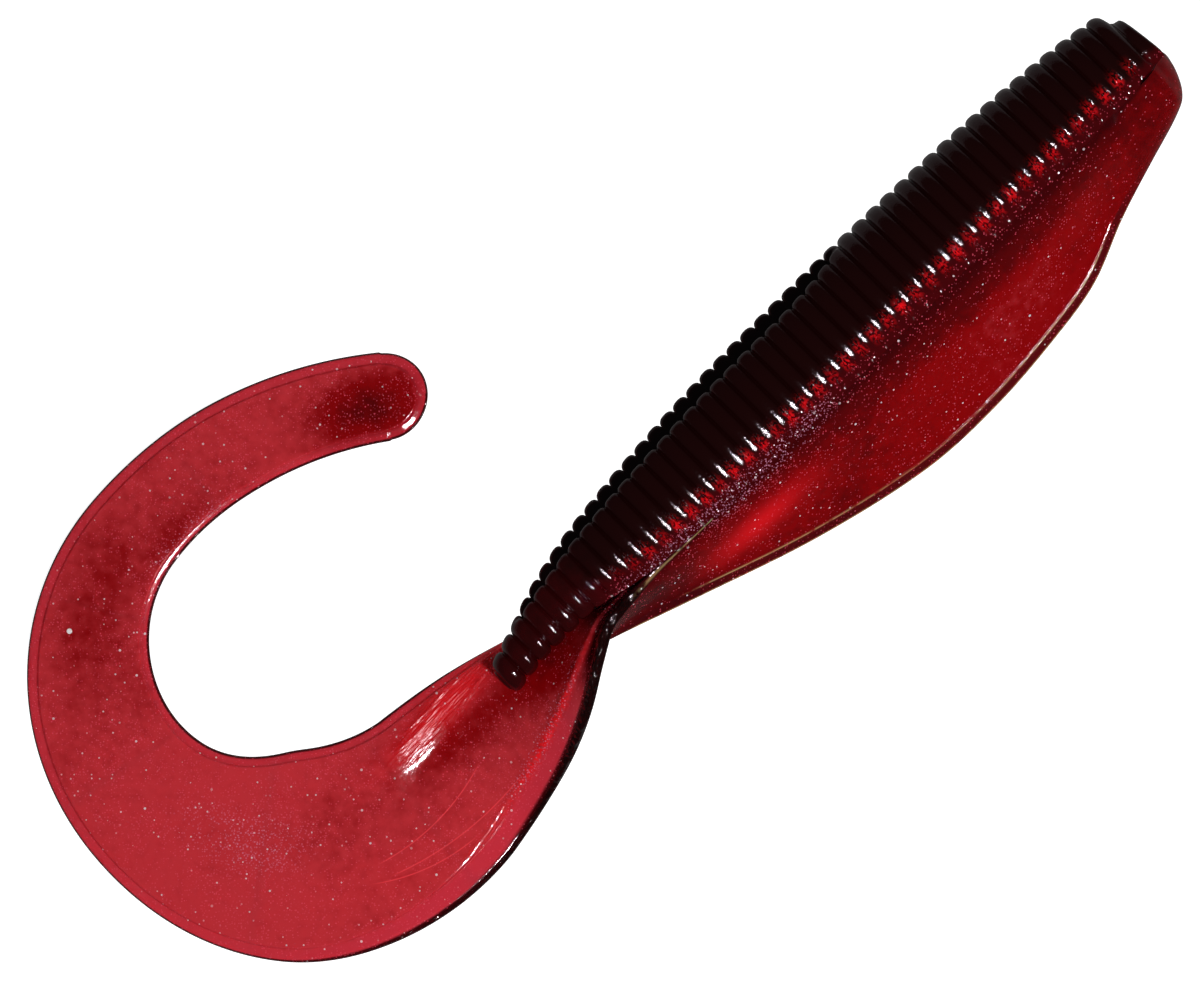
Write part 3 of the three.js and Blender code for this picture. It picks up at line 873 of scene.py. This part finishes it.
def break_glare(n, normal):
    """The tail's glare breaks into streaks on its swell, and ripples along its black edge."""
    drawn = n.times(n.streaks(HEADING, (3.2, 0.45, 0.45)), n.ramp(n.mark("glow"), 0.05, 0.5))
    normal = n.bump(drawn, 1.0, STREAK_RELIEF, normal)
    rippled = n.plus(n.ramp(n.mark("ink"), 0.5, 0.8), n.mark("spark"))
    return n.bump(n.times(n.noise(1.2, 1.0), rippled), 1.0, RIPPLE_RELIEF, normal)


def soft_vinyl(name, translucent=0.0, through=0.0, grain=0.2, is_tail=False):
    """Wet-looking soft vinyl with foil flake in it."""
    material = bpy.data.materials.new(name)
    material.use_nodes = True
    n = Nodes(material.node_tree)
    shader = material.node_tree.nodes["Principled BSDF"]

    colour, clear = vinyl_colour(n)
    colour, leans = add_flake(n, colour, clear)
    if is_tail:
        colour = add_scratches(n, colour)
    n.put(colour, shader.inputs["Base Color"])

    # Each flake lies at its own tilt under the clear surface.
    normal = n.tree.nodes.new("ShaderNodeNewGeometry").outputs["Normal"]
    for lean in leans:
        normal = n.vector("ADD", normal, lean)
    normal = n.vector("NORMALIZE", normal)
    if is_tail:
        normal = break_glare(n, normal)
    relief = n.plus(n.times(n.noise(3.2, 4.0, 0.6), grain), n.times(n.noise(0.55, 2.0), 1 - grain))
    n.put(n.bump(relief, 0.2, SKIN_RELIEF, normal), shader.inputs["Normal"])

    rough = n.plus(n.times(n.noise(0.4, 5.0, 0.65), 0.06), SMOOTHEST)
    if is_tail:
        rough = n.plus(rough, n.times(n.mark("glow"), 0.32))
    n.put(rough, shader.inputs["Roughness"])
    shader.inputs["IOR"].default_value = 1.45
    shader.inputs["Specular Tint"].default_value = GLARE
    shader.inputs["Subsurface Weight"].default_value = translucent
    if translucent:
        shader.inputs["Subsurface Radius"].default_value = RED_SCATTER
        shader.inputs["Subsurface Scale"].default_value = SCATTER_REACH
    shader.inputs["Transmission Weight"].default_value = through
    return material


# ---- camera and light ----
TABLE_SHOWN = 0.1154  # metres across the picture at the table that the lure lies on
CAMERA_HEIGHT = 0.9
CAMERA_ASIDE = -0.0003
SENSOR_WIDTH = 36
camera_data = bpy.data.cameras.new("camera")
camera_data.sensor_width = SENSOR_WIDTH
camera_data.lens = SENSOR_WIDTH * CAMERA_HEIGHT / TABLE_SHOWN
camera_data.clip_end = 10
camera = bpy.data.objects.new("camera", camera_data)
camera.location = (CAMERA_ASIDE, 0.0, CAMERA_HEIGHT)
bpy.context.scene.collection.objects.link(camera)
bpy.context.scene.camera = camera


def lamp(name, place, size, power):
    data = bpy.data.lights.new(name, "AREA")
    data.shape = "DISK"
    data.size = size
    data.energy = power
    made = bpy.data.objects.new(name, data)
    made.location = place
    made.rotation_euler = (-Vector(place)).to_track_quat("-Z", "Y").to_euler()
    bpy.context.scene.collection.objects.link(made)


keelward = np.array([-math.sin(HEADING), math.cos(HEADING), 0])
KEY_ASIDE, KEY_HEIGHT = 0.24, 0.60  # metres, to the keel's side and up
KEY_SIZE = 0.05
KEY_POWER = 3.2
lamp("key", tuple(KEY_ASIDE * keelward + KEY_HEIGHT * UP), KEY_SIZE, KEY_POWER)


def share_for_ray(tree, *kinds):
    """1 for rays of the first kind that are not of the second."""
    path = tree.nodes.new("ShaderNodeLightPath")
    share = path.outputs[kinds[0]]
    if len(kinds) > 1:
        less = tree.nodes.new("ShaderNodeMath")
        less.operation = "SUBTRACT"
        less.use_clamp = True
        tree.links.new(share, less.inputs[0])
        tree.links.new(path.outputs[kinds[1]], less.inputs[1])
        share = less.outputs[0]
    return share


def between(tree, value, low, high, start=0.0, end=1.0):
    """Runs from low to high as the value runs from start to end."""
    made = tree.nodes.new("ShaderNodeMapRange")
    made.inputs["From Min"].default_value = start
    made.inputs["From Max"].default_value = end
    made.inputs["To Min"].default_value = low
    made.inputs["To Max"].default_value = high
    tree.links.new(value, made.inputs["Value"])
    return made.outputs["Result"]


BACKDROP_SHEDS = 0.03  # how strongly the backdrop lights the lure, against how it looks


def make_backdrop():
    """A backdrop that looks white, but sheds little light: the lamp and the lit floor do that."""
    world = bpy.data.worlds.new("studio")
    world.use_nodes = True
    tree = world.node_tree
    backdrop = tree.nodes["Background"]
    backdrop.inputs["Color"].default_value = (*WHITE, 1)
    seen = share_for_ray(tree, "Is Camera Ray")
    tree.links.new(between(tree, seen, BACKDROP_SHEDS, 1.0), backdrop.inputs["Strength"])
    bpy.context.scene.world = world
    bpy.context.scene.view_settings.view_transform = "Standard"


FLOOR_REACH = 3.0
FLOOR_HEIGHT = -0.12
GREY, DARK_GREY = (0.5, 0.5, 0.5, 1), (0.02, 0.02, 0.02, 1)
# What mirrors in the lure: its strength, and how far to the keel's side in metres it runs from
# bright to dim.
MIRRORED_BRIGHT, MIRRORED_DIM = 0.16, 0.012
MIRROR_START, MIRROR_END = -0.07, 0.22


def make_floor():
    """A white lit floor, low enough that it hides nothing when the lure bends down. Its image in
    the lure's gloss is kept dim, as dark flags round the lure would keep it."""
    mesh = bpy.data.meshes.new("floor")
    corners = [(x * FLOOR_REACH, y * FLOOR_REACH, FLOOR_HEIGHT)
               for x, y in ((-1, -1), (1, -1), (1, 1), (-1, 1))]
    mesh.from_pydata(corners, [], [(0, 1, 2, 3)])
    floor = bpy.data.objects.new("floor", mesh)
    bpy.context.scene.collection.objects.link(floor)
    material = bpy.data.materials.new("floor")
    material.use_nodes = True
    tree = material.node_tree
    shader = tree.nodes["Principled BSDF"]
    shader.inputs["Roughness"].default_value = 0.8
    mirrored = share_for_ray(tree, "Is Glossy Ray", "Is Transmission Ray")
    white = tree.nodes.new("ShaderNodeMix")
    white.data_type = "RGBA"
    tree.links.new(mirrored, white.inputs[0])
    white.inputs[6].default_value = GREY
    white.inputs[7].default_value = DARK_GREY
    tree.links.new(white.outputs[2], shader.inputs["Base Color"])
    shader.inputs["Emission Color"].default_value = (*WHITE, 1)
    # What mirrors in the lure is darker on the keel's side.
    place = tree.nodes.new("ShaderNodeNewGeometry")
    side = tree.nodes.new("ShaderNodeVectorMath")
    side.operation = "DOT_PRODUCT"
    side.inputs[1].default_value = tuple(keelward)
    tree.links.new(place.outputs["Position"], side.inputs[0])
    shade = between(tree, side.outputs["Value"], MIRRORED_BRIGHT, MIRRORED_DIM, MIRROR_START,
                    MIRROR_END)
    glow = tree.nodes.new("ShaderNodeMix")
    tree.links.new(mirrored, glow.inputs[0])
    glow.inputs[2].default_value = 1.0
    tree.links.new(shade, glow.inputs[3])
    tree.links.new(glow.outputs[0], shader.inputs["Emission Strength"])
    mesh.materials.append(material)


make_backdrop()
make_floor()

# ---- the pieces ----
clear_red = soft_vinyl("clear_red_vinyl", translucent=0.5, through=0.2)
tail_red = soft_vinyl("tail_red_vinyl", translucent=0.5, through=0.2, is_tail=True)
dark_back = soft_vinyl("dark_back_vinyl", grain=0.5)

# Stretches of skin, each between the middles of two segments: (body, next body, from, to, hinge).
STRETCHES = [
    ("head", "front", 0.0, 30.0, FRONT_HINGE),
    ("front", "middle", 30.0, 50.0, MIDDLE_HINGE),
    ("middle", "rear", 50.0, 68.0, REAR_HINGE),
    ("rear", None, 68.0, BODY_LENGTH, None),
]


def join(piece, body, next_body):
    """Ride on one body; a piece that lies between two bodies only gets its placing baked into its
    mesh.
    """
    if next_body is None:
        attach(piece, body)
        return
    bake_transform(piece)


for body, next_body, first, last, hinge in STRETCHES:
    ringed = body in ("head", "rear")
    columns = np.concatenate([ANGLES, UNDER_ANGLES]) if ringed else ANGLES
    capped = {"head": ["start"], "rear": ["end"]}.get(body, [])
    back = body_piece(f"{body}_back_skin", back_skin, columns, first, last, ringed, back_marks,
                      capped)
    back.data.materials.append(dark_back)
    join(back, body, next_body)
    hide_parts(f"{body}_back")

    belly_last = BELLY_END if body == "rear" else last
    belly = body_piece(f"{body}_belly_skin", belly_skin, SHARES, first, belly_last, False,
                       belly_marks, ["end"] if body == "rear" else [])
    belly.data.materials.append(clear_red)
    join(belly, body, next_body)
    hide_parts(f"{body}_belly")

TAIL_PIECES = 7
TAIL_HINGE = 7.5  # the first hinge, along the sheet
TAIL_PITCH = (TAIL_LENGTH - TAIL_HINGE) / TAIL_PIECES
SHEET_HIDDEN = -8.0  # where the sheet starts, inside the body
for number in range(TAIL_PIECES):
    hinge = TAIL_HINGE + number * TAIL_PITCH
    first = SHEET_HIDDEN if number == 0 else hinge - TAIL_PITCH / 2
    last = TAIL_LENGTH if number == TAIL_PIECES - 1 else hinge + TAIL_PITCH / 2
    sheet = tail_piece(f"tail_sheet_{number}", first, last)
    sheet.data.materials.append(tail_red)
    centre, ahead, _, _ = tail_frame(hinge)
    body = "rear" if number == 0 else f"tail_{number}"
    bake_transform(sheet)
    replaced = ["tail_root"] if number == 0 else [f"tail_{number}"]
    if number == TAIL_PIECES - 1:
        replaced.append(f"tail_{TAIL_PIECES}")
    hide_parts(*replaced)
